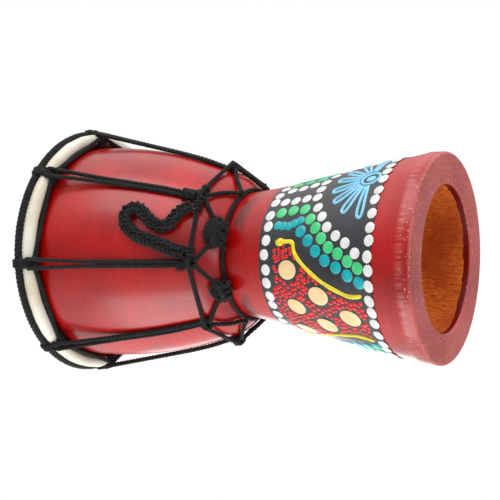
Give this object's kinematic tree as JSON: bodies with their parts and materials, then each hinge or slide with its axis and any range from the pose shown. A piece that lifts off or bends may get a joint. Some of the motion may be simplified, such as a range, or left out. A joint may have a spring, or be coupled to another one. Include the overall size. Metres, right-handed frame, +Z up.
{
  "type": "djembe",
  "caption": "Small goblet-shaped hand drum: turned wooden shell with a rawhide head, laced with black cord between head and neck, and a braided carry loop.",
  "frame": {"origin": "centre of the flat foot face, on the drum's axis", "axes": "+Z runs up the drum's axis to the head; -Y is the side that carries the loop and the tie knots"},
  "size_m": [0.1294, 0.1294, 0.2],
  "materials": {
    "lacquered_wood": "glossy red lacquer outside with a black painted band, bare orange-stained wood inside",
    "rawhide": "scraped cream rawhide, satin",
    "hoop_wire": "plain steel wire ring",
    "heavy_cord": "thick black laid cord, matte",
    "lacing_cord": "thin black twisted cord, matte and slightly fuzzy",
    "braided_cord": "black braid of thin cord, matte"
  },
  "bodies": {
    "drum": {"crown_cord": "heavy_cord", "drum_skin": "rawhide", "flesh_hoop": "hoop_wire", "hoop_hitch_1": "lacing_cord", "hoop_hitch_2": "lacing_cord", "hoop_hitch_3": "lacing_cord", "hoop_hitch_4": "lacing_cord", "hoop_hitch_5": "lacing_cord", "hoop_hitch_6": "lacing_cord", "hoop_hitch_7": "lacing_cord", "hoop_hitch_8": "lacing_cord", "lower_knot_1": "lacing_cord", "lower_knot_2": "lacing_cord", "lower_knot_3": "lacing_cord", "lower_knot_4": "lacing_cord", "lower_knot_5": "lacing_cord", "lower_knot_6": "lacing_cord", "lower_knot_7": "lacing_cord", "lower_knot_8": "lacing_cord", "middle_ring_strand_1": "lacing_cord", "middle_ring_strand_2": "lacing_cord", "middle_ring_strand_3": "lacing_cord", "middle_ring_strand_4": "lacing_cord", "middle_ring_strand_5": "lacing_cord", "middle_ring_strand_6": "lacing_cord", "middle_ring_strand_7": "lacing_cord", "middle_ring_strand_8": "lacing_cord", "neck_ring_cord": "lacing_cord", "net_strand_1": "lacing_cord", "net_strand_2": "lacing_cord", "net_strand_3": "lacing_cord", "net_strand_4": "lacing_cord", "net_strand_5": "lacing_cord", "net_strand_6": "lacing_cord", "net_strand_7": "lacing_cord", "net_strand_8": "lacing_cord", "shell": "lacquered_wood", "square_tie_knot": "lacing_cord", "stopper_ball": "lacing_cord", "under_hoop_cords": "lacing_cord", "upright_pair_1": "lacing_cord", "upright_pair_2": "lacing_cord", "upright_pair_3": "lacing_cord", "upright_pair_4": "lacing_cord", "upright_pair_5": "lacing_cord", "upright_pair_6": "lacing_cord", "upright_pair_7": "lacing_cord", "upright_pair_8": "lacing_cord", "whipping": "lacing_cord", "wound_ball_knot": "lacing_cord"},
    "loop": {"carry_loop": "braided_cord", "carry_loop_eyes": "braided_cord"}
  },
  "joints": [
    {"name": "carry_loop_swing", "type": "hinge", "parent": "drum", "child": "loop", "pos_m": [0.01136, -0.03989, 0.1086], "axis": [0.9617, 0.274, 0], "range_deg": [0, 120]}
  ]
}
